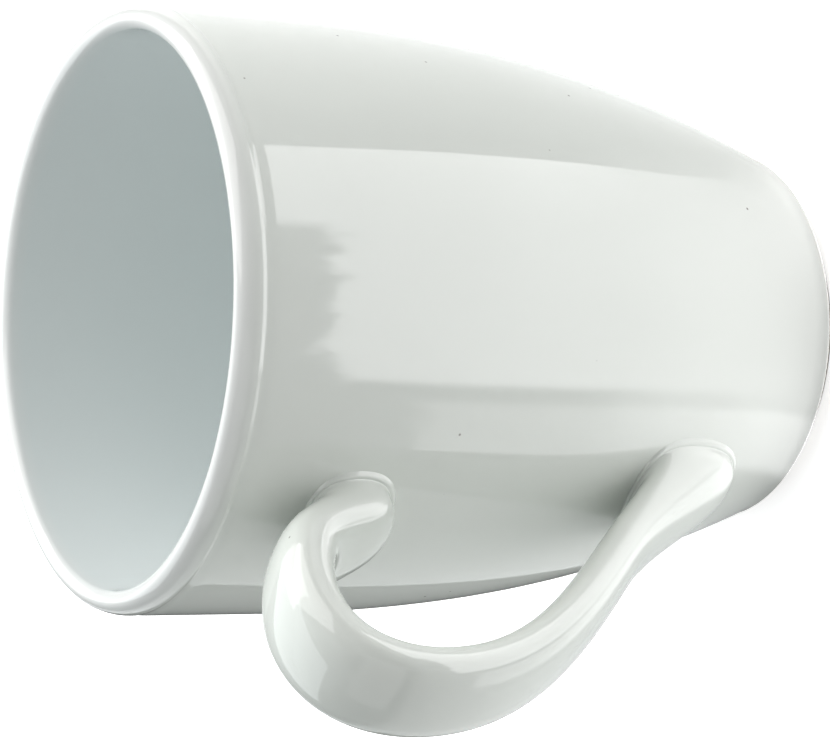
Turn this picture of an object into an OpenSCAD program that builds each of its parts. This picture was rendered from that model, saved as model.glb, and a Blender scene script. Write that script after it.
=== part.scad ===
// A tall white glazed soup mug with an ear handle.
// The clay cup is turned as one piece, the solid clay strap handle is stuck on with slip
// at two roots, and a clear white glaze coats everything but the foot ring.
// The origin is the middle of the foot's standing face, +Z is up the cup's axis and +X
// points to the handle. All sizes are millimetres of the finished, glazed mug.

/* [Cup] */
// Height from the table to the top of the lip
height = 126; // [110:1:140]
// Outside diameter of the upright upper wall
rim_d = 101; // [90:1:112]
// Thickness of the wall, measured level
wall_t = 4.2; // [3.5:0.1:6]
// Height at which the flare has become the upright wall
shoulder_z = 103; // [90:1:112]
// Outside diameter where the flare starts, just above the foot
heel_d = 66.4; // [60:0.2:74]
// How fast the flare turns upright, 1 is a straight cone
flare_power = 2.3; // [1.8:0.1:3]
// Rounding of the heel under the flare
heel_round = 1.4; // [0.8:0.1:2]
// How far the outer side of the lip is rounded inwards
lip_out = 1.8; // [1.2:0.1:2.4]
// How far below the top the outer rounding of the lip begins
lip_out_drop = 4.5; // [3:0.1:8]
// How far below the top the inner rounding of the lip begins
lip_in_drop = 3.2; // [2:0.1:5]

/* [Base] */
// Outside diameter of the foot ring
foot_d = 60.8; // [56:0.2:62]
// Height of the foot ring
foot_h = 2.4; // [1.8:0.1:3.5]
// Width of the foot ring
foot_w = 5; // [3.5:0.1:8]
// Rounding of the foot ring's edges
foot_round = 0.7; // [0.4:0.1:1]
// Height of the hollow inside the foot ring
recess_h = 3; // [2:0.1:4]
// Thickness of the floor above the hollow
floor_t = 6; // [4:0.1:8]
// Height of the rounded corner between the inside wall and the floor
bowl_round_h = 14; // [8:1:20]
// Width of the rounded corner between the inside wall and the floor
bowl_round_w = 12; // [8:1:16]

/* [Glaze] */
// Thickness of the fired glaze
glaze_t = 0.35; // [0.2:0.05:0.5]

/* [Handle] */
// Distance from the cup's axis to the middle of the strap at its outermost point
reach = 87.6; // [80:0.1:96]
// Height of the outermost point
reach_z = 99.5; // [92:0.5:105]
// Width of the strap near the upper root
strap_w_upper = 18; // [14:0.1:21]
// Width of the strap near the lower root
strap_w_lower = 15.2; // [13:0.1:19]
// Thickness of the strap near the upper root
strap_t_upper = 9.6; // [8:0.1:12]
// Thickness of the strap near the lower root
strap_t_lower = 7.7; // [7:0.1:11]
// Height at which the strap's middle line leaves the wall
rise_z = 103; // [99:0.5:106]
// Slope at which the strap leaves the wall
rise_angle = 54.5; // [45:0.5:62]
// Reach of the curve that rises from the wall
rise_pull = 23.2; // [18:0.2:28]
// Reach of the curve above the outermost point
crest_pull = 21.2; // [17:0.2:25]
// Reach of the curve below the outermost point
back_pull = 28; // [22:0.5:34]
// Height at which the strap's middle line runs into the wall
fall_z = 31; // [28:0.5:34]
// Slope at which the strap runs into the wall
fall_angle = 71.5; // [65:0.5:76]
// Reach of the curve that falls to the wall
fall_pull = 21.4; // [17:0.2:26]

/* [Roots] */
// Height of the middle of the upper root on the wall
upper_root_z = 100.5; // [97:0.5:104]
// Width of the upper root
upper_root_w = 18; // [15:0.1:22]
// Height of the upper root from its lowest to its highest point
upper_root_h = 16; // [13:0.5:19]
// How far the blunt knuckle under the upper root swells from the wall before it turns up
upper_swell = 10; // [6:0.5:12]
// Height of the middle of the lower root on the wall
lower_root_z = 34; // [30:0.5:38]
// Width of the lower root
lower_root_w = 16.5; // [14:0.1:20]
// Height of the lower root from its lowest to its highest point
lower_root_h = 23.5; // [20:0.5:27]
// How far the blunt lower end swells from the wall before it turns up
lower_swell = 5.5; // [4:0.5:9]
// Thickness of the slip that sticks the handle to the wall
slip_t = 1; // [0.6:0.1:1.5]
// How far the squeezed-out slip stands round the handle's end
slip_bead = 0.8; // [0.5:0.1:1.4]

/* [Hidden] */

BISQUE = [0.90, 0.88, 0.84];
GLAZE = [0.94, 0.95, 0.94];
SLIP = [0.86, 0.85, 0.82];

$fn = 96;
// Steps along the flare, round a lip or heel edge, and along the inside corner
FLARE_STEPS = 24;
EDGE_STEPS = 6;
BOWL_STEPS = 8;
// Points round the strap, steps along it and along each root, and rings in each end face
STRAP_POINTS = 28;
STRAP_STEPS = 24;
ROOT_STEPS = 7;
END_RINGS = 3;
// How square the strap and its roots are, 2 is an ellipse
STRAP_SQUARE = 2.4;
// The strap's own stretch of its middle line, clear of both roots, on a scale of 0 to 2
NECK_UPPER = 0.24;
NECK_LOWER = 1.62;
// How far the root's surface follows the strap's run before it turns to the wall
NECK_PULL_UPPER = 5;
NECK_PULL_LOWER = 14;
// How far the inner corner of a root stands off the wall before it turns
CORNER_SWELL = 0.8;

rim_r = rim_d / 2;
heel_r = heel_d / 2;
foot_r = foot_d / 2;
crest_r = rim_r - lip_out;
lip_in = wall_t - lip_out;
heel_z = foot_h + heel_round;
floor_z = recess_h + floor_t;
bowl_z = floor_z + bowl_round_h;
recess_r = foot_r - foot_w;

// Radius of the finished outside at height z, below the lip's rounding
function wall_r(z) =
    rim_r - (rim_r - heel_r) * pow(max(0, (shoulder_z - z) / (shoulder_z - foot_h)), flare_power);

// Radius of the finished inside at height z, below the lip's rounding
function bore_r(z) = wall_r(z) - wall_t;

// Points of an arc of an ellipse in the half section, from angle a to angle b, after the first few
function arc(centre, rx, rz, a, b, skip = 0) =
    [for (i = [skip:EDGE_STEPS])
        let (t = a + (b - a) * i / EDGE_STEPS)
        centre + [rx * cos(t), rz * sin(t)]];

// Cup's coated side in the half section, from the heel up, over the lip and in to the axis,
// with every surface set back by inset
function coated_side(inset) = concat(
    arc([wall_r(heel_z) - heel_round, heel_z], heel_round - inset, heel_round - inset, -90, 0),
    [for (i = [1:FLARE_STEPS])
        let (z = heel_z + (height - lip_out_drop - heel_z) * i / FLARE_STEPS)
        [wall_r(z) - inset, z]],
    arc([crest_r, height - lip_out_drop], lip_out - inset, lip_out_drop - inset, 0, 90, 1),
    arc([crest_r, height - lip_in_drop], lip_in - inset, lip_in_drop - inset, 90, 180, 1),
    [for (i = [1:FLARE_STEPS])
        let (z = height - lip_in_drop + (bowl_z - height + lip_in_drop) * i / FLARE_STEPS)
        [bore_r(z) + inset, z]],
    [for (i = [1:BOWL_STEPS])
        let (t = i / BOWL_STEPS)
        (1 - t) * (1 - t) * [bore_r(bowl_z) + inset, bowl_z]
        + 2 * t * (1 - t) * [bore_r(floor_z) + inset, floor_z - inset]
        + t * t * [bore_r(floor_z) - bowl_round_w, floor_z - inset]],
    [[0, floor_z - inset]]);

// Bare underside in the half section, from the axis out over the foot ring to the heel
function bare_side() = concat(
    [[0, recess_h], [recess_r, recess_h]],
    arc([recess_r + foot_round, foot_round], foot_round, foot_round, 180, 270),
    arc([foot_r - foot_round, foot_round], foot_round, foot_round, 270, 360),
    [[foot_r, foot_h + glaze_t]]);

function reversed(list) = [for (i = [len(list) - 1:-1:0]) list[i]];

// Cubic curve through a and d, drawn towards b and c, and its direction
function curve(a, b, c, d, t) =
    pow(1 - t, 3) * a + 3 * pow(1 - t, 2) * t * b + 3 * (1 - t) * t * t * c + pow(t, 3) * d;
function curve_run(a, b, c, d, t) =
    let (v = pow(1 - t, 2) * (b - a) + 2 * (1 - t) * t * (c - b) + t * t * (d - c))
    v / norm(v);

// Strap's middle line in the [x, z] plane: 0 at the upper root, 1 outermost, 2 at the lower root
rise_start = [wall_r(rise_z), rise_z];
rise_turn = rise_start + rise_pull * [cos(rise_angle), sin(rise_angle)];
outermost = [reach, reach_z];
fall_end = [wall_r(fall_z), fall_z];
fall_turn = fall_end + fall_pull * [cos(fall_angle), sin(fall_angle)];

function strap_at(u) = u <= 1
    ? curve(rise_start, rise_turn, outermost + [0, crest_pull], outermost, u)
    : curve(outermost, outermost - [0, back_pull], fall_turn, fall_end, u - 1);
function strap_run(u) = u <= 1
    ? curve_run(rise_start, rise_turn, outermost + [0, crest_pull], outermost, u)
    : curve_run(outermost, outermost - [0, back_pull], fall_turn, fall_end, u - 1);

// Rounded oval of half width a and half height b
function fuller(v) = sign(v) * pow(abs(v), 2 / STRAP_SQUARE);
function oval(a, b) =
    [for (i = [0:STRAP_POINTS - 1])
        let (t = 360 * i / STRAP_POINTS)
        [a * fuller(cos(t)), b * fuller(sin(t))]];

// Strap's cross-section at u, set back by inset
function strap_ring(u, inset) =
    let (share = (u - NECK_UPPER) / (NECK_LOWER - NECK_UPPER),
         half_w = (strap_w_upper + (strap_w_lower - strap_w_upper) * share) / 2 - inset,
         half_t = (strap_t_upper + (strap_t_lower - strap_t_upper) * share) / 2 - inset,
         middle = strap_at(u),
         run = strap_run(u))
    [for (p = oval(half_w, half_t))
        [middle.x - run.y * p.y, p.x, middle.y + run.x * p.y]];

// A root is [height, width, height span, side of the strap's outer face, swell, neck, neck pull]
UPPER = [upper_root_z, upper_root_w, upper_root_h, 1, upper_swell, NECK_UPPER, NECK_PULL_UPPER];
LOWER = [lower_root_z, lower_root_w, lower_root_h, -1, lower_swell, NECK_LOWER, -NECK_PULL_LOWER];

// Root's outline on the wall, grown by grow, shrunk to share of its size and standing off the clay
function root_ring(root, grow, off, share = 1) =
    [for (p = oval(root[1] / 2 + grow, root[2] / 2 + grow))
        let (y = p.x * share,
             z = root[0] + root[3] * p.y * share)
        [sqrt(pow(wall_r(z) - glaze_t + off, 2) - y * y), y, z]];

// Rings that carry the root's outline smoothly into the strap, from the wall outwards
function root_flow(root, inset) =
    let (foot = root_ring(root, -inset, slip_t),
         neck = strap_ring(root[5], inset),
         run = strap_run(root[5]) * root[6])
    [for (k = [0:ROOT_STEPS])
        [for (i = [0:STRAP_POINTS - 1])
            let (low = (1 + (root[0] - foot[i].z) / (root[2] / 2 - inset)) / 2,
                 swell = CORNER_SWELL + (root[4] - CORNER_SWELL) * low)
            curve(foot[i], foot[i] + [swell, 0, 0], neck[i] - [run.x, 0, run.y], neck[i],
                  k / (ROOT_STEPS + 1))]];

// The handle's whole surface from the upper root to the lower one
function handle_rings(inset) = concat(
    root_flow(UPPER, inset),
    [for (i = [0:STRAP_STEPS])
        strap_ring(NECK_UPPER + (NECK_LOWER - NECK_UPPER) * i / STRAP_STEPS, inset)],
    reversed(root_flow(LOWER, inset)));

// Rings of an end face on the wall, from its middle to just inside its outline
function end_face(root, grow, off) =
    [for (k = [1:END_RINGS - 1]) root_ring(root, grow, off, k / END_RINGS)];
function end_middle(root, off) = [wall_r(root[0]) - glaze_t + off, 0, root[0]];

// Two triangles for each step between ring a and ring b
function band(a, b) =
    [for (i = [0:STRAP_POINTS - 1])
        let (j = (i + 1) % STRAP_POINTS)
        each [[a * STRAP_POINTS + i, b * STRAP_POINTS + j, a * STRAP_POINTS + j],
              [a * STRAP_POINTS + i, b * STRAP_POINTS + i, b * STRAP_POINTS + j]]];

// Solid between a row of rings, closed to a point at each end
module closed_loft(rings, first, last) {
    count = len(rings);
    first_i = count * STRAP_POINTS;
    last_i = first_i + 1;
    last_ring = first_i - STRAP_POINTS;
    polyhedron(
        points = concat([for (ring = rings) each ring], [first, last]),
        faces = concat(
            [for (k = [0:count - 2]) each band(k, k + 1)],
            [for (i = [0:STRAP_POINTS - 1]) [first_i, i, (i + 1) % STRAP_POINTS]],
            [for (i = [0:STRAP_POINTS - 1])
                [last_i, last_ring + (i + 1) % STRAP_POINTS, last_ring + i]]));
}

// Solid at a root, from rings that run outwards from its inner middle to its outer middle.
// The lower root's rings go round the other way, so there the row is turned end for end.
module root_loft(root, rings, inner, outer) {
    upright = root[3] > 0;
    closed_loft(upright ? rings : reversed(rings), upright ? inner : outer, upright ? outer : inner);
}

// Sleeve between a row of rings whose last one joins the first
module sleeve_loft(rings) {
    count = len(rings);
    polyhedron(
        points = [for (ring = rings) each ring],
        faces = [for (k = [0:count - 1]) each band(k, (k + 1) % count)]);
}

// Pad of slip between the wall and the handle's end, with its bead round the edge
module slip_pad(root) {
    root_loft(
        root,
        concat(
            end_face(root, slip_bead - glaze_t, 0),
            [root_ring(root, slip_bead - glaze_t, 0), root_ring(root, -glaze_t, slip_t)],
            reversed(end_face(root, -glaze_t, slip_t))),
        end_middle(root, 0),
        end_middle(root, slip_t));
}

// Opening in the cup's glaze where a root meets the clay, cut no deeper than half the wall
module glaze_window(root) {
    root_loft(
        root,
        [root_ring(root, slip_bead, -wall_t / 2), root_ring(root, slip_bead, wall_t)],
        end_middle(root, -wall_t / 2),
        end_middle(root, wall_t));
}

module mug_body() {
    color(BISQUE)
        rotate_extrude()
            polygon(concat(bare_side(), coated_side(glaze_t)));
}

module cup_glaze() {
    color(GLAZE)
        difference() {
            rotate_extrude()
                polygon(concat(coated_side(0), reversed(coated_side(glaze_t))));
            glaze_window(UPPER);
            glaze_window(LOWER);
        }
}

module recess_glaze() {
    color(GLAZE)
        translate([0, 0, recess_h - glaze_t])
            cylinder(r = recess_r, h = glaze_t);
}

module handle() {
    color(BISQUE)
        closed_loft(
            concat(
                end_face(UPPER, -glaze_t, slip_t),
                handle_rings(glaze_t),
                reversed(end_face(LOWER, -glaze_t, slip_t))),
            end_middle(UPPER, slip_t),
            end_middle(LOWER, slip_t));
}

module upper_slip_joint() {
    color(SLIP)
        slip_pad(UPPER);
}

module lower_slip_joint() {
    color(SLIP)
        slip_pad(LOWER);
}

module handle_glaze() {
    color(GLAZE)
        sleeve_loft(concat(
            [root_ring(UPPER, slip_bead, 0), root_ring(UPPER, slip_bead, glaze_t)],
            handle_rings(0),
            [root_ring(LOWER, slip_bead, glaze_t), root_ring(LOWER, slip_bead, 0)],
            [root_ring(LOWER, slip_bead - glaze_t, 0)],
            reversed(handle_rings(glaze_t)),
            [root_ring(UPPER, slip_bead - glaze_t, 0)]));
}

mug_body();
cup_glaze();
recess_glaze();
handle();
upper_slip_joint();
lower_slip_joint();
handle_glaze();
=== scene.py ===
import math

import bpy
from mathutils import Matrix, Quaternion, Vector


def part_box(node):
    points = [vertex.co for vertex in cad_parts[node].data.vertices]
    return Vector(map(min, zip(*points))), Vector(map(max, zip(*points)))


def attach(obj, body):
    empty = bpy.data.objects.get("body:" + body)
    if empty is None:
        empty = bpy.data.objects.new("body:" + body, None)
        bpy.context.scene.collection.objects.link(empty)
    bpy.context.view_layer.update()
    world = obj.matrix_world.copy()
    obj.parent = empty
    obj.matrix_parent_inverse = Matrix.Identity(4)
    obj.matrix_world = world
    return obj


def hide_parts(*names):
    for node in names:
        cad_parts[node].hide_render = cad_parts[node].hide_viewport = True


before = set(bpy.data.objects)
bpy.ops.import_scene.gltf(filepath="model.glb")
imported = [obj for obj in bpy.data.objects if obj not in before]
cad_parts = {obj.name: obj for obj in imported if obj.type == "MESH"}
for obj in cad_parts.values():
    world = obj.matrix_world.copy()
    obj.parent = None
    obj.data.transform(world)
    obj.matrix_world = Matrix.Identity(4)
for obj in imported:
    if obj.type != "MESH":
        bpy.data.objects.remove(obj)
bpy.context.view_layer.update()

bpy.ops.object.select_all(action="DESELECT")

# Clay cup
# The cup is white stoneware, turned on a wheel as one piece with a flared wall, a thick floor
# and a foot ring. The glaze hides it all but the foot ring, which stays bare, matt clay.
glaze_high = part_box("cup_glaze")[1]
recess_low, recess_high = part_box("recess_glaze")
height = glaze_high.z
rim_radius = glaze_high.y
recess_radius = recess_high.x
recess_height = recess_high.z
glaze_thick = recess_high.z - recess_low.z
wall_thick = 0.0042
shoulder_height = 0.103
heel_radius = 0.0332
heel_round = 0.0014
flare_power = 2.3
foot_radius = 0.0304
foot_height = 0.0024
foot_round = 0.0007
floor_height = 0.009
bowl_round_height = 0.014
bowl_round_width = 0.012
lip_out = 0.0024
lip_out_drop = 0.0040
lip_in_drop = 0.0018
lip_neck_depth = 0.00016
lip_neck_drop = 0.0046
lip_neck_width = 0.0011
cup_sides = 256
round_steps = 6
lip_steps = 16
wall_steps = 60
wall_crowding = 1.6
inside_steps = 32
bowl_steps = 16
clay_dark = (0.56, 0.52, 0.45, 1)
clay_pale = (0.74, 0.71, 0.65, 1)


def wall_radius(z):
    """Radius of the glazed outside at height z, below the lip's rounding."""
    left = max(0.0, (shoulder_height - z) / (shoulder_height - foot_height))
    return rim_radius - (rim_radius - heel_radius) * left ** flare_power


def necked_radius(z):
    """The same, with the shallow neck that the potter's sponge leaves under the lip."""
    off = (height - lip_neck_drop - z) / lip_neck_width
    return wall_radius(z) - lip_neck_depth * math.exp(-off * off)


def arc(radius, z, radius_size, z_size, start, end, steps):
    """Rings, each a radius and a height, along an arc of an ellipse in the half section."""
    turns = [math.radians(start + (end - start) * i / steps) for i in range(steps + 1)]
    return [(radius + radius_size * math.cos(t), z + z_size * math.sin(t)) for t in turns]


def glazed_rings(inset):
    """Rings of the coated side from the heel up, over the lip and in to the floor's middle."""
    heel_z = foot_height + heel_round
    heel_size = heel_round - inset
    lip_z = height - lip_out_drop
    inner_lip_z = height - lip_in_drop
    crest = rim_radius - lip_out
    lip_in = wall_thick - lip_out
    bowl_z = floor_height + bowl_round_height
    rings = arc(wall_radius(heel_z) - heel_round, heel_z, heel_size, heel_size, -90, 0, round_steps)
    for i in range(1, wall_steps):
        share = 1 - (1 - i / wall_steps) ** wall_crowding
        z = heel_z + (lip_z - heel_z) * share
        rings.append((necked_radius(z) - inset, z))
    rings += arc(crest, lip_z, lip_out - inset, lip_out_drop - inset, 0, 90, lip_steps)
    rings += arc(crest, inner_lip_z, lip_in - inset, lip_in_drop - inset, 90, 180, lip_steps)[1:]
    for i in range(1, inside_steps + 1):
        z = inner_lip_z + (bowl_z - inner_lip_z) * i / inside_steps
        rings.append((wall_radius(z) - wall_thick + inset, z))
    wall_foot = (wall_radius(bowl_z) - wall_thick + inset, bowl_z)
    corner = (wall_radius(floor_height) - wall_thick + inset, floor_height - inset)
    floor_edge = (corner[0] - bowl_round_width, corner[1])
    for i in range(1, bowl_steps + 1):
        t = i / bowl_steps
        rings.append(tuple(
            (1 - t) ** 2 * a + 2 * t * (1 - t) * b + t * t * c
            for a, b, c in zip(wall_foot, corner, floor_edge)))
    for share in (0.75, 0.5, 0.25, 0.08):
        rings.append((floor_edge[0] * share, floor_edge[1]))
    return rings


def foot_rings():
    """Rings of the bare underside from its middle out over the foot ring to the heel."""
    inner = recess_radius + foot_round
    outer = foot_radius - foot_round
    rings = [(recess_radius * share, recess_height) for share in (0.3, 0.7, 1)]
    rings += arc(inner, foot_round, foot_round, foot_round, 180, 270, round_steps)
    rings += [(inner + (outer - inner) * share, 0) for share in (0.3, 0.7)]
    rings += arc(outer, foot_round, foot_round, foot_round, 270, 360, round_steps)
    rings.append((foot_radius, foot_height + glaze_thick))
    return rings


def turned(name, rings, fill="NOTHING"):
    """A circle drawn out from ring to ring, as clay on a wheel, and closed at its last ring."""
    radius, z = rings[0]
    bpy.ops.object.select_all(action="DESELECT")
    bpy.ops.mesh.primitive_circle_add(
        vertices=cup_sides, radius=radius, fill_type=fill, location=(0, 0, z))
    bpy.ops.object.transform_apply()
    bpy.ops.object.mode_set(mode="EDIT")
    bpy.ops.mesh.select_mode(type="EDGE")
    bpy.ops.mesh.select_all(action="DESELECT")
    bpy.ops.mesh.select_non_manifold()
    for next_radius, next_z in rings[1:]:
        bpy.ops.mesh.extrude_edges_move(TRANSFORM_OT_translate={"value": (0, 0, next_z - z)})
        grow = next_radius / radius
        bpy.ops.transform.resize(value=(grow, grow, 1), center_override=(0, 0, next_z))
        radius, z = next_radius, next_z
    bpy.ops.mesh.merge(type="CENTER")
    bpy.ops.mesh.select_all(action="SELECT")
    bpy.ops.mesh.normals_make_consistent(inside=False)
    bpy.ops.object.mode_set(mode="OBJECT")
    bpy.ops.object.shade_smooth()
    piece = bpy.context.object
    piece.name = name
    return piece


clay_cup = turned("clay_cup", foot_rings() + glazed_rings(glaze_thick), fill="TRIFAN")
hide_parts("mug_body")
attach(clay_cup, "root")


def add_node(tree, kind, **values):
    """A node of that kind, with plain values set on its inputs by name."""
    node = tree.nodes.new(kind)
    for name, value in values.items():
        node.inputs[name.replace("_", " ")].default_value = value
    return node


def add_ramp(tree, fac, stops):
    """A colour ramp with a stop at each position."""
    node = tree.nodes.new("ShaderNodeValToRGB")
    elements = node.color_ramp.elements
    elements.remove(elements[1])
    elements[0].position, elements[0].color = stops[0]
    for position, colour in stops[1:]:
        elements.new(position).color = colour
    tree.links.new(fac, node.inputs["Fac"])
    return node.outputs["Color"]


bisque = bpy.data.materials.new("bare fired clay")
bisque.use_nodes = True
bisque_tree = bisque.node_tree
bisque_shader = bisque_tree.nodes["Principled BSDF"]
bisque_shader.inputs["Roughness"].default_value = 0.85
bisque_place = bisque_tree.nodes.new("ShaderNodeTexCoord").outputs["Object"]
bisque_noise = add_node(bisque_tree, "ShaderNodeTexNoise", Scale=900, Detail=6)
bisque_tree.links.new(bisque_place, bisque_noise.inputs["Vector"])
bisque_grain = bisque_noise.outputs["Fac"]
bisque_colour = add_ramp(bisque_tree, bisque_grain, [(0.3, clay_dark), (0.65, clay_pale)])
bisque_tree.links.new(bisque_colour, bisque_shader.inputs["Base Color"])
bisque_bump = add_node(bisque_tree, "ShaderNodeBump", Strength=0.5, Distance=0.0001)
bisque_tree.links.new(bisque_grain, bisque_bump.inputs["Height"])
bisque_tree.links.new(bisque_bump.outputs["Normal"], bisque_shader.inputs["Normal"])
clay_cup.data.materials.append(bisque)

# Cup glaze
# A clear white glaze, dipped on and fired to glass, coats the cup inside and out down to the
# heel. It lies in slow waves from the dipping, and holds a few iron specks and pinholes.
coat_share = 0.7
wave_size = 0.035
wave_depth = 0.00010
lip_highlight_drop = 0.004
thin_heel_rise = 0.0012
inside_blend = 0.001
pinhole_depth = 0.03
glaze_bend = 1.6
pool_dark = (0.690, 0.718, 0.680, 1)
pool_pale = (0.715, 0.743, 0.706, 1)
speck_brown = (0.10, 0.085, 0.07, 1)
# Pinhole colour: partly the bare clay at the floor of each pit, partly painted shade inside it.
pinhole_clay_and_shade = (0.30, 0.29, 0.27, 1)
# Painted light: the inside colour is paler and bluer, standing in for cool light filling the cup.
inside_painted_light = (0.758, 0.800, 0.797, 1)
# Painted highlight: the lip colour is whiter, standing in for the bright crest of the rim.
lip_painted_highlight = (0.80, 0.81, 0.80, 1)
heel_buff = (0.66, 0.63, 0.56, 1)


def thicken(sheet):
    """Gives a sheet of glaze its thickness, inwards from its face and just short of the clay."""
    coat = sheet.modifiers.new("coat", "SOLIDIFY")
    coat.thickness = glaze_thick * coat_share
    coat.offset = -1
    bpy.ops.object.modifier_apply(modifier=coat.name)


cup_glaze = turned("cup_glaze_coat", glazed_rings(0))
dip_waves = bpy.data.textures.new("dip waves", "CLOUDS")
dip_waves.noise_scale = wave_size
wave = cup_glaze.modifiers.new("dip waves", "DISPLACE")
wave.texture = dip_waves
wave.texture_coords = "LOCAL"
wave.strength = wave_depth
wave.mid_level = 1
bpy.ops.object.modifier_apply(modifier=wave.name)
thicken(cup_glaze)
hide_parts("cup_glaze")
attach(cup_glaze, "root")


def add_math(tree, operation, first, second):
    """A math node on two values, each a socket or a number."""
    node = tree.nodes.new("ShaderNodeMath")
    node.operation = operation
    for socket, value in zip(node.inputs, (first, second)):
        if isinstance(value, (int, float)):
            socket.default_value = value
        else:
            tree.links.new(value, socket)
    return node.outputs["Value"]


def add_range(tree, value, start, end, **values):
    """A mask that goes from 0 where the value is the start to 1 where it is the end, and stays there."""
    node = add_node(tree, "ShaderNodeMapRange", From_Min=start, From_Max=end, **values)
    tree.links.new(value, node.inputs["Value"])
    return node.outputs["Result"]


def add_mix(tree, fac, first, second):
    """A mix of two colours, each a socket or a colour."""
    node = tree.nodes.new("ShaderNodeMix")
    node.data_type = "RGBA"
    tree.links.new(fac, node.inputs["Factor"])
    for name, value in (("A", first), ("B", second)):
        socket = next(entry for entry in node.inputs if entry.name == name and entry.type == "RGBA")
        if isinstance(value, tuple):
            socket.default_value = value
        else:
            tree.links.new(value, socket)
    return next(entry for entry in node.outputs if entry.type == "RGBA")


def add_spots(tree, place, scale, rare, size):
    """A mask of scattered round spots, in the few cells of a pattern whose own number is high."""
    cells = add_node(tree, "ShaderNodeTexVoronoi", Scale=scale)
    tree.links.new(place, cells.inputs["Vector"])
    number = tree.nodes.new("ShaderNodeSeparateColor")
    tree.links.new(cells.outputs["Color"], number.inputs["Color"])
    chosen = add_math(tree, "GREATER_THAN", number.outputs["Red"], rare)
    near = add_range(tree, cells.outputs["Distance"], size, size * 0.4)
    return add_math(tree, "MULTIPLY", near, chosen)


glaze_look = bpy.data.node_groups.new("glaze look", "ShaderNodeTree")
for name, kind in (("Colour", "Color"), ("Roughness", "Float"), ("Normal", "Vector")):
    glaze_look.interface.new_socket(name, in_out="OUTPUT", socket_type="NodeSocket" + kind)
look_out = glaze_look.nodes.new("NodeGroupOutput")
look_place = glaze_look.nodes.new("ShaderNodeTexCoord").outputs["Object"]
noises = {}
for name, scale, detail in (("pool", 16, 2), ("wave", 45, 1), ("ripple", 150, 1), ("peel", 900, 2)):
    noise = add_node(glaze_look, "ShaderNodeTexNoise", Scale=scale, Detail=detail)
    glaze_look.links.new(look_place, noise.inputs["Vector"])
    noises[name] = noise.outputs["Fac"]
specks = add_spots(glaze_look, look_place, scale=420, rare=0.985, size=0.14)
pinholes = add_spots(glaze_look, look_place, scale=300, rare=0.985, size=0.07)
pool_colour = add_ramp(glaze_look, noises["pool"], [(0.35, pool_dark), (0.65, pool_pale)])
speck_colour = add_mix(glaze_look, specks, pool_colour, speck_brown)
# Pinholes are painted dark grey: partly bare clay, partly painted shade in each pit.
hole_colour = add_mix(glaze_look, pinholes, speck_colour, pinhole_clay_and_shade)
glaze_look.links.new(hole_colour, look_out.inputs["Colour"])
look_rough = add_range(glaze_look, noises["pool"], 0, 1, To_Min=0.03, To_Max=0.07)
glaze_look.links.new(look_rough, look_out.inputs["Roughness"])
relief = 0
for name, depth in (("wave", 0.030), ("ripple", 0.0035), ("peel", 0.0002)):
    relief = add_math(glaze_look, "ADD", relief, add_math(glaze_look, "MULTIPLY", noises[name], depth))
holes = add_math(glaze_look, "MULTIPLY", pinholes, pinhole_depth)
relief = add_math(glaze_look, "SUBTRACT", relief, holes)
look_bump = add_node(glaze_look, "ShaderNodeBump", Strength=1, Distance=0.001)
glaze_look.links.new(relief, look_bump.inputs["Height"])
glaze_look.links.new(look_bump.outputs["Normal"], look_out.inputs["Normal"])


def glaze_material(name):
    """A glossy material with the glaze look."""
    material = bpy.data.materials.new(name)
    material.use_nodes = True
    tree = material.node_tree
    look = tree.nodes.new("ShaderNodeGroup")
    look.name = "look"
    look.node_tree = glaze_look
    shader = tree.nodes["Principled BSDF"]
    shader.inputs["IOR"].default_value = glaze_bend
    tree.links.new(look.outputs["Colour"], shader.inputs["Base Color"])
    tree.links.new(look.outputs["Roughness"], shader.inputs["Roughness"])
    tree.links.new(look.outputs["Normal"], shader.inputs["Normal"])
    return material


# The cup's coat is painted paler and bluer inside as painted light in the cup, whiter at the lip as a
# painted highlight on the crest, and thins to buff at the heel.
cup_coat = glaze_material("cup glaze")
cup_tree = cup_coat.node_tree
cup_colour = cup_tree.nodes["look"].outputs["Colour"]
cup_place = cup_tree.nodes.new("ShaderNodeTexCoord").outputs["Object"]
cup_axes = cup_tree.nodes.new("ShaderNodeSeparateXYZ")
cup_tree.links.new(cup_place, cup_axes.inputs["Vector"])
cup_z = cup_axes.outputs["Z"]
flat_place = cup_tree.nodes.new("ShaderNodeVectorMath")
flat_place.operation = "MULTIPLY"
flat_place.inputs[1].default_value = (1, 1, 0)
cup_tree.links.new(cup_place, flat_place.inputs[0])
from_axis = cup_tree.nodes.new("ShaderNodeVectorMath")
from_axis.operation = "LENGTH"
cup_tree.links.new(flat_place.outputs["Vector"], from_axis.inputs[0])
drop = add_math(cup_tree, "SUBTRACT", shoulder_height, cup_z)
below = add_math(cup_tree, "DIVIDE", drop, shoulder_height - foot_height)
flare = add_math(cup_tree, "POWER", add_math(cup_tree, "MAXIMUM", below, 0.0), flare_power)
drawn_in = add_math(cup_tree, "MULTIPLY", flare, rim_radius - heel_radius)
wall_middle = add_math(cup_tree, "SUBTRACT", rim_radius - wall_thick / 2, drawn_in)
within = add_math(cup_tree, "SUBTRACT", wall_middle, from_axis.outputs["Value"])
inside = add_range(cup_tree, within, 0, inside_blend)
# Painted light: the inside is painted paler and bluer than the outside, as cool light filling the cup.
inside_lit_colour = add_mix(cup_tree, inside, cup_colour, inside_painted_light)
# Painted highlight: the top of the lip is painted whiter, as the crest catching the lamps above.
lip_highlight_mask = add_range(cup_tree, cup_z, height - lip_highlight_drop, height)
lip_highlight_colour = add_mix(cup_tree, lip_highlight_mask, inside_lit_colour, lip_painted_highlight)
thin_heel = add_range(cup_tree, cup_z, foot_height + thin_heel_rise, foot_height)
heel_colour = add_mix(cup_tree, thin_heel, lip_highlight_colour, heel_buff)
cup_tree.links.new(heel_colour, cup_tree.nodes["Principled BSDF"].inputs["Base Color"])
cup_glaze.data.materials.append(cup_coat)

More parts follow.
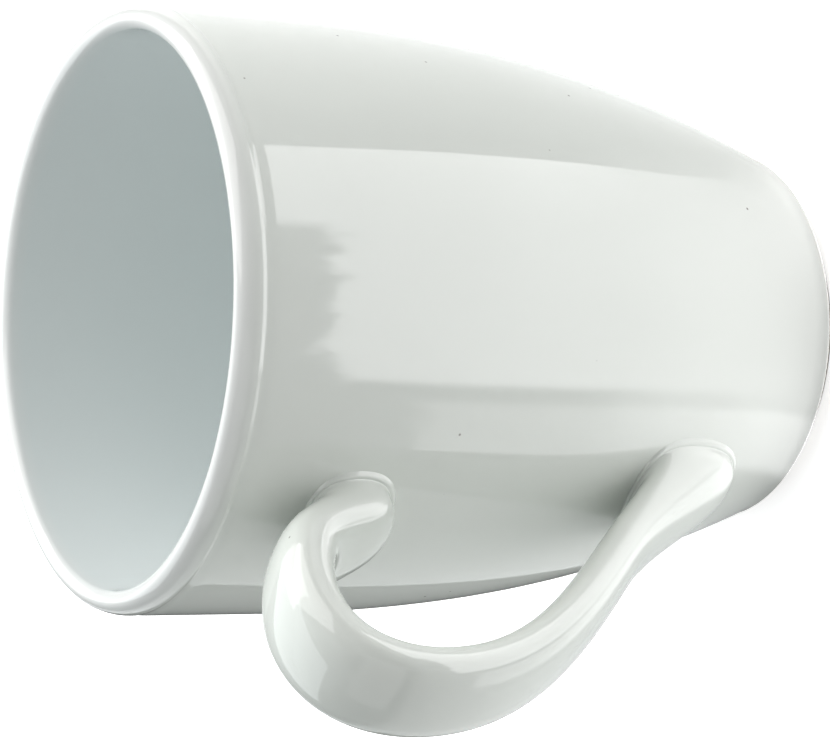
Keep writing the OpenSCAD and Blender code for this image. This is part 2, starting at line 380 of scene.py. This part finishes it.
# Recess glaze
# The hollow inside the foot ring is glazed with a brush, so the mug can stand on its bare ring
# in the kiln.
recess_gap = 0.0001
recess_sink = 0.00005
recess_round = 0.0012
recess_edge = recess_radius - recess_gap
recess_top = recess_height + recess_sink
recess_face = recess_height - glaze_thick
recess_rings = [(recess_edge * 0.3, recess_top), (recess_edge, recess_top)]
recess_rings += arc(
    recess_edge - recess_round, recess_height, recess_round, glaze_thick, 0, -90, round_steps)
recess_rings += [(recess_edge * share, recess_face) for share in (0.7, 0.4, 0.1)]
recess_glaze = turned("recess_glaze_coat", recess_rings, fill="TRIFAN")
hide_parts("recess_glaze")
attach(recess_glaze, "root")
recess_glaze.data.materials.append(glaze_material("recess glaze"))

# Clay handle
# The handle is a solid strap of pulled clay, oval in section, bent to an ear while it is soft.
# It ends in a blunt knuckle pressed to the wall under the lip, and in a tongue below, both a
# little askew.
strap_wide_upper = 0.0180
strap_wide_lower = 0.0152
strap_thick_upper = 0.0096
strap_thick_lower = 0.0077
strap_square = 2.4
strap_points = 32
strap_steps = 30
knuckle_steps = 8
tongue_steps = 9
reach = 0.0876
reach_z = 0.0995
rise_z = 0.103
rise_angle = math.radians(54.5)
rise_pull = 0.0232
crest_pull = 0.0212
back_pull = 0.028
fall_z = 0.031
fall_angle = math.radians(71.5)
fall_pull = 0.0214
neck_upper = 0.24
neck_lower = 1.62
neck_pull_upper = 0.005
neck_pull_lower = 0.014
root_lift = 0.0008
upper_root_z = 0.1013
upper_root_wide = 0.0143
upper_root_high = 0.0145
upper_swell = Vector((0.0075, -0.0015))
upper_aside = 0.0016
lower_root_z = 0.0338
lower_root_wide = 0.0182
lower_root_high = 0.0235
lower_swell = Vector((0.0055, 0))
lower_aside = 0.0010
lower_aside_run = 0.03
tongue_taper = 0.25
crotch_swell = Vector((0.0008, 0))
crotch_share = 0.3


def cubic(a, b, c, d, t):
    """Point of a cubic curve from a to d, drawn towards b and c."""
    s = 1 - t
    return a * s ** 3 + b * (3 * s * s * t) + c * (3 * s * t * t) + d * t ** 3


def cubic_run(a, b, c, d, t):
    """Direction of that curve."""
    s = 1 - t
    return ((b - a) * (s * s) + (c - b) * (2 * s * t) + (d - c) * (t * t)).normalized()


rise_start = Vector((wall_radius(rise_z), rise_z))
rise_turn = rise_start + rise_pull * Vector((math.cos(rise_angle), math.sin(rise_angle)))
outermost = Vector((reach, reach_z))
fall_end = Vector((wall_radius(fall_z), fall_z))
fall_turn = fall_end + fall_pull * Vector((math.cos(fall_angle), math.sin(fall_angle)))
rise = (rise_start, rise_turn, outermost + Vector((0, crest_pull)), outermost)
fall = (outermost, outermost - Vector((0, back_pull)), fall_turn, fall_end)


def strap_sides(u):
    """Outer and inner side of the strap in the x, z plane, its half width and its direction."""
    share = (u - neck_upper) / (neck_lower - neck_upper)
    half_wide = (strap_wide_upper + (strap_wide_lower - strap_wide_upper) * share) / 2
    half_thick = (strap_thick_upper + (strap_thick_lower - strap_thick_upper) * share) / 2
    middle = cubic(*rise, u) if u <= 1 else cubic(*fall, u - 1)
    run = cubic_run(*rise, u) if u <= 1 else cubic_run(*fall, u - 1)
    across = Vector((-run.y, run.x)) * half_thick
    return middle + across, middle - across, half_wide, run


# A station is an outer and an inner side, a half width, how far the section follows the wall's
# curve, from 0 to 1, and its lift where it lies on the wall.
def foot_stations(root, steps):
    """Stations round a root on the wall, each grown past the root and lifted off the wall."""
    root_z, wide, high, side = root
    stations = []
    for grow, lift in steps:
        top_z = root_z + high / 2 + grow * crotch_share
        low_z = root_z - high / 2 - grow
        top = Vector((wall_radius(top_z) + lift, top_z))
        low = Vector((wall_radius(low_z) + lift, low_z))
        outer, inner = (top, low) if side > 0 else (low, top)
        stations.append((outer, inner, wide / 2 + grow, 1, lift))
    return stations


def root_stations(root, outer_swell, inner_swell, neck, pull, steps):
    """Stations that carry a root from the wall out to the strap."""
    wide = root[1]
    foot_outer, foot_inner = foot_stations(root, [(0, root_lift)])[0][:2]
    outer, inner, half_wide, run = strap_sides(neck)
    stations = []
    for k in range(1, steps):
        t = k / steps
        out = cubic(foot_outer, foot_outer + outer_swell, outer - run * pull, outer, t)
        inn = cubic(foot_inner, foot_inner + inner_swell, inner - run * pull, inner, t)
        hold = (1 - t) ** 3 + 3 * (1 - t) ** 2 * t
        stations.append((out, inn, wide / 2 * hold + half_wide * (1 - hold), hold, None))
    return stations


upper_root = (upper_root_z, upper_root_wide, upper_root_high, 1)
lower_root = (lower_root_z, lower_root_wide, lower_root_high, -1)
knuckle = root_stations(
    upper_root, crotch_swell, upper_swell, neck_upper, neck_pull_upper, knuckle_steps)
tongue = root_stations(
    lower_root, lower_swell, crotch_swell, neck_lower, -neck_pull_lower, tongue_steps)
strap = []
for k in range(strap_steps + 1):
    sides = strap_sides(neck_upper + (neck_lower - neck_upper) * k / strap_steps)
    strap.append((*sides[:3], 0, None))


def ease(value, start, end):
    """0 before the start, 1 past the end and a smooth rise between them."""
    share = min(max((value - start) / (end - start), 0), 1)
    return share * share * (3 - 2 * share)


def sideways(middle):
    """How far a station lies beside the middle plane, because both ends are stuck on a little askew."""
    if middle.y > reach_z:
        return upper_aside * ease(middle.x, reach, rim_radius)
    return lower_aside * ease(middle.y, lower_root_z + lower_aside_run, lower_root_z)


def swept(name, stations, closed):
    """A rounded ring of the strap's section, drawn out and turned from station to station."""
    bpy.ops.object.select_all(action="DESELECT")
    bpy.ops.mesh.primitive_circle_add(vertices=strap_points, radius=1)
    piece = bpy.context.object
    piece.name = name
    for point in piece.data.vertices:
        for axis in (0, 1):
            value = point.co[axis]
            point.co[axis] = math.copysign(abs(value) ** (2 / strap_square), value)
    bpy.ops.object.mode_set(mode="EDIT")
    bpy.ops.mesh.select_all(action="SELECT")
    place = Vector((0, 0, 0))
    turn, thick, wide = 0, 1, 1
    for count, (outer, inner, half_wide, _, _) in enumerate(stations):
        middle = (outer + inner) / 2
        across = (outer - inner) / 2
        next_place = Vector((middle.x, sideways(middle), middle.y))
        next_turn = math.atan2(across.y, across.x)
        move = tuple(next_place - place)
        if count == 0:
            bpy.ops.transform.translate(value=move)
        else:
            bpy.ops.mesh.extrude_edges_move(TRANSFORM_OT_translate={"value": move})
        lean = (next_turn - turn + math.pi) % (2 * math.pi) - math.pi
        bpy.ops.transform.rotate(value=lean, orient_axis="Y", center_override=tuple(next_place))
        grow_thick = across.length / thick
        bpy.ops.transform.resize(value=(grow_thick, half_wide / wide, grow_thick),
                                 center_override=tuple(next_place))
        place, turn, thick, wide = next_place, next_turn, across.length, half_wide
    bpy.ops.object.mode_set(mode="OBJECT")
    for count, (outer, inner, _, hug, lift) in enumerate(stations):
        ring = piece.data.vertices[count * strap_points:(count + 1) * strap_points]
        middle = (outer + inner) / 2
        for point in ring:
            if hug and middle.y < reach_z:
                point.co.y *= 1 + tongue_taper * hug * (point.co.z - middle.y) / abs(outer.y - middle.y)
            radius = wall_radius(point.co.z)
            if lift is not None:
                point.co.x = math.sqrt((radius + lift) ** 2 - point.co.y ** 2)
            elif hug:
                point.co.x += hug * (math.sqrt(radius ** 2 - point.co.y ** 2) - radius)
    bpy.ops.object.mode_set(mode="EDIT")
    bpy.ops.mesh.select_all(action="SELECT")
    if closed:
        bpy.ops.mesh.fill_holes(sides=0)
        bpy.ops.mesh.select_all(action="SELECT")
    bpy.ops.mesh.normals_make_consistent(inside=False)
    bpy.ops.object.mode_set(mode="OBJECT")
    smooth = piece.modifiers.new("smooth", "SUBSURF")
    smooth.levels = 2
    smooth.render_levels = 2
    bpy.ops.object.modifier_apply(modifier=smooth.name)
    bpy.ops.object.shade_smooth()
    return piece


clay_handle = swept("clay_handle", knuckle + strap + tongue[::-1], closed=True)
bpy.ops.object.mode_set(mode="EDIT")
bpy.ops.mesh.select_all(action="SELECT")
bpy.ops.transform.shrink_fatten(value=-glaze_thick)
bpy.ops.object.mode_set(mode="OBJECT")
clay_handle.data.materials.append(bisque)
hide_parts("handle")
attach(clay_handle, "root")

# Slip joints
# A smear of slip, clay thinned with water, glues each root to the scored wall. It is squeezed out
# to a thin rim and fires to the same white body, hidden under the glaze.
slip = bisque.copy()
slip.name = "fired slip"
slip_steps = [(0.0008, -0.0005), (0.0007, -0.0001), (0.0003, 0.0002), (-0.0004, 0.0004),
              (-0.0020, 0.0004)]
upper_slip = swept("upper_slip", foot_stations(upper_root, slip_steps), closed=True)
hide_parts("upper_slip_joint")
lower_slip = swept("lower_slip", foot_stations(lower_root, slip_steps), closed=True)
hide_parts("lower_slip_joint")
for pad in (upper_slip, lower_slip):
    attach(pad, "root")
    pad.data.materials.append(slip)

# Handle glaze
# The same dip coats the handle. At both roots the glaze runs down onto the wall over the slip and
# ends in a thin bead, with a fine crease where the clay was pressed on.
bead_steps = [(0.0013, -0.0003), (0.0011, 0), (0.0009, 0.0003), (0.0006, 0.0005), (0.0003, 0.0005),
              (0.0001, 0.0004), (0, 0.0008)]
upper_bead = foot_stations(upper_root, bead_steps)
lower_bead = foot_stations(lower_root, bead_steps)
coat_stations = upper_bead + knuckle + strap + tongue[::-1] + lower_bead[::-1]
handle_glaze = swept("handle_glaze_coat", coat_stations, closed=False)
thicken(handle_glaze)
handle_glaze.data.materials.append(glaze_material("handle glaze"))
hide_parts("handle_glaze")
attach(handle_glaze, "root")

# Floor and backdrop
# The mug stands on plain white paper before a white backdrop. Both are white to the camera, and
# the glaze mirrors only a share of that, so it keeps its own tone.
floor_size = 6
floor_drop = 0.0001
paper_white = (0.8, 0.8, 0.8, 1)
paper_glow = 0.7
backdrop_white = (0.96, 0.985, 1, 1)
backdrop_light = 0.09
mirrored_share = 0.15
scene = bpy.context.scene
scene.view_settings.view_transform = "Standard"
bpy.ops.object.select_all(action="DESELECT")
bpy.ops.mesh.primitive_plane_add(size=floor_size, location=(0, 0, -floor_drop))
floor = bpy.context.object
floor.name = "floor"


def seen_directly(tree):
    """1 for a ray from the camera, a share of 1 for one mirrored or let through, 0 for stray light."""
    path = tree.nodes.new("ShaderNodeLightPath").outputs
    mirrored = add_math(tree, "MAXIMUM", path["Is Glossy Ray"], path["Is Transmission Ray"])
    dimmed = add_math(tree, "MULTIPLY", mirrored, mirrored_share)
    return add_math(tree, "MAXIMUM", path["Is Camera Ray"], dimmed)


paper = bpy.data.materials.new("white paper")
paper.use_nodes = True
paper_tree = paper.node_tree
paper_shader = paper_tree.nodes["Principled BSDF"]
paper_shader.inputs["Base Color"].default_value = paper_white
paper_shader.inputs["Roughness"].default_value = 0.9
paper_shader.inputs["Emission Color"].default_value = (1, 1, 1, 1)
paper_light = add_math(paper_tree, "MULTIPLY", seen_directly(paper_tree), paper_glow)
paper_tree.links.new(paper_light, paper_shader.inputs["Emission Strength"])
paper.cycles.emission_sampling = "NONE"
floor.data.materials.append(paper)

world = bpy.data.worlds.new("studio")
scene.world = world
world.use_nodes = True
world_tree = world.node_tree
background = world_tree.nodes["Background"]
background.inputs["Color"].default_value = backdrop_white
world_glow = add_math(world_tree, "MULTIPLY", seen_directly(world_tree), 1 - backdrop_light)
world_total = add_math(world_tree, "ADD", world_glow, backdrop_light)
world_tree.links.new(world_total, background.inputs["Strength"])

# Camera
# It looks down on the mug from one side of the handle, with a long lens, and is turned on its
# side: the mouth comes to the left of the picture and the handle to the bottom.
camera_bearing = math.radians(39.11)
camera_out = 0.45166
camera_up = 0.32066
look_down = math.radians(29.289)
look_heading = camera_bearing + math.pi + math.radians(1.053)
picture_turn = math.radians(1.872 - 90)
focal_pixels = 2961.5
picture_width = 830


def polar(turn, out, up):
    """A point, or a direction, at a turn about the cup's axis, so far out from it and so far up."""
    return Vector((out * math.cos(turn), out * math.sin(turn), up))


camera_data = bpy.data.cameras.new("camera")
camera_data.sensor_fit = "HORIZONTAL"
camera_data.sensor_width = 36
camera_data.lens = camera_data.sensor_width * focal_pixels / picture_width
camera = bpy.data.objects.new("camera", camera_data)
scene.collection.objects.link(camera)
camera.location = polar(camera_bearing, camera_out, camera_up)
look = polar(look_heading, math.cos(look_down), -math.sin(look_down))
camera.rotation_mode = "QUATERNION"
camera.rotation_quaternion = look.to_track_quat("-Z", "Y") @ Quaternion((0, 0, 1), picture_turn)
scene.camera = camera

# Soft boxes
# Six large lamps stand a metre from the middle of the mug. The key lights it from the side that
# is the picture's top, and the right rim and back lamps stand behind the mug.
warm = (1, 0.995, 0.985)
cool = (0.92, 0.985, 1)


def area_lamp(name, size, power):
    """A rectangular lamp that the camera doesn't see."""
    lamp = bpy.data.lights.new(name, "AREA")
    lamp.shape = "RECTANGLE"
    lamp.size, lamp.size_y = size
    lamp.energy = power
    box = bpy.data.objects.new(name, lamp)
    scene.collection.objects.link(box)
    box.visible_camera = False
    return box


def softbox(name, bearing, lift, size, power, colour):
    """A lamp a metre away, at a bearing from the camera's, pointing at the middle of the cup."""
    box = area_lamp(name, size, power)
    box.data.color = colour
    rise_up = math.radians(lift)
    out = polar(camera_bearing + math.radians(bearing), math.cos(rise_up), math.sin(rise_up))
    box.location = out + Vector((0, 0, height / 2))
    box.rotation_mode = "QUATERNION"
    box.rotation_quaternion = (-out).to_track_quat("-Z", "Y")


softbox("key", 90, 51, (1.2, 1.2), 9.4, warm)
softbox("front", 25, 58, (1.3, 0.9), 1.0, warm)
softbox("right rim", 135, 42, (0.9, 0.9), 4.8, warm)
softbox("left", -100, 64, (1.1, 1.0), 0.8, cool)
softbox("back", -160, 50, (1.5, 0.9), 6.2, cool)
softbox("low left", -45, 22, (1.4, 0.6), 1.5, warm)

# Bounce card and black flag
# A white card on the floor throws light up at the mug's handle side, and isn't mirrored. A sheet
# of black felt on the floor is mirrored only, as a thin dark line along the wall's edge.
card_turn = camera_bearing - math.radians(32)
card_reach = 0.165
card_height = 0.003
card_size = (0.24, 0.26)
card_power = 0.125
card = area_lamp("bounce card", card_size, card_power)
card.location = polar(card_turn, card_reach, card_height)
card.rotation_euler = (math.pi, 0, card_turn)
card.visible_glossy = False

flag_turn = camera_bearing - math.radians(113)
flag_size = 0.3
flag_reach = 0.2
flag_height = 0.001
felt_black = (0.02, 0.02, 0.02, 1)
flag_place = polar(flag_turn, flag_reach, flag_height) + polar(flag_turn - math.pi / 2, flag_size / 2, 0)
bpy.ops.object.select_all(action="DESELECT")
bpy.ops.mesh.primitive_plane_add(
    size=flag_size, location=tuple(flag_place), rotation=(0, 0, flag_turn))
flag = bpy.context.object
flag.name = "black flag"
flag.visible_camera = False
flag.visible_diffuse = False
flag.visible_shadow = False
felt = bpy.data.materials.new("black felt")
felt.use_nodes = True
felt_shader = felt.node_tree.nodes["Principled BSDF"]
felt_shader.inputs["Base Color"].default_value = felt_black
felt_shader.inputs["Roughness"].default_value = 1
flag.data.materials.append(felt)

# Light table
# A glowing sheet lies on the floor for the glaze to mirror, and lights nothing else. It is masked
# to four parts with ragged ends, which leave a grey patch in the bright front of the wall.
table_size = (0.72, 0.72)
table_power = 4.7
table_height = 0.002
rag_scale = 28
rag_detail = 4
rag_depth = 0.06
# Each part has a left and a right edge in degrees from the camera's bearing, a near and a far
# edge in metres from the axis, each with its dark end first, and a strength.
table_parts = {
    "front": ((-22, -18), (61, 60.2), (0.03, 0.12), (0.262, 0.25), 1),
    "band": ((29, 34), (61, 60.2), (0.25, 0.262), (0.342, 0.33), 1),
    "near": ((-62, -10), (80, 20), (0.01, 0.02), (0.11, 0.03), 1),
    "left": ((-54, -46), (-24, -28), (0.02, 0.03), (0.21, 0.19), 0.4),
}
table = area_lamp("light table", table_size, table_power)
table.location = (0, 0, table_height)
table.rotation_euler = (math.pi, 0, 0)
table.visible_diffuse = False
table.data.use_nodes = True
table_tree = table.data.node_tree
table_place = table_tree.nodes.new("ShaderNodeNewGeometry").outputs["Position"]
table_axes = table_tree.nodes.new("ShaderNodeSeparateXYZ")
table_tree.links.new(table_place, table_axes.inputs["Vector"])
table_turn = add_math(table_tree, "ARCTAN2", table_axes.outputs["Y"], table_axes.outputs["X"])
table_bearing = add_math(table_tree, "SUBTRACT", table_turn, camera_bearing)
table_away = table_tree.nodes.new("ShaderNodeVectorMath")
table_away.operation = "LENGTH"
table_tree.links.new(table_place, table_away.inputs["Vector"])
table_noise = add_node(table_tree, "ShaderNodeTexNoise", Scale=rag_scale, Detail=rag_detail)
table_tree.links.new(table_place, table_noise.inputs["Vector"])
rag = add_math(table_tree, "SUBTRACT", table_noise.outputs["Fac"], 0.5)
ragged = add_math(table_tree, "MULTIPLY", rag, rag_depth)
table_reach = add_math(table_tree, "ADD", table_away.outputs["Value"], ragged)


def add_edge(value, dark, bright):
    """A mask on the table that rises smoothly from 0 at the dark value to 1 at the bright one."""
    edge = add_range(table_tree, value, dark, bright)
    edge.node.interpolation_type = "SMOOTHSTEP"
    return edge


table_light = 0
for left, right, near, far, strength in table_parts.values():
    edges = [add_edge(table_bearing, math.radians(dark), math.radians(bright))
             for dark, bright in (left, right)]
    edges += [add_edge(table_reach, dark, bright) for dark, bright in (near, far)]
    mask = strength
    for edge in edges:
        mask = add_math(table_tree, "MULTIPLY", mask, edge)
    table_light = add_math(table_tree, "ADD", table_light, mask)
table_tree.links.new(table_light, table_tree.nodes["Emission"].inputs["Strength"])
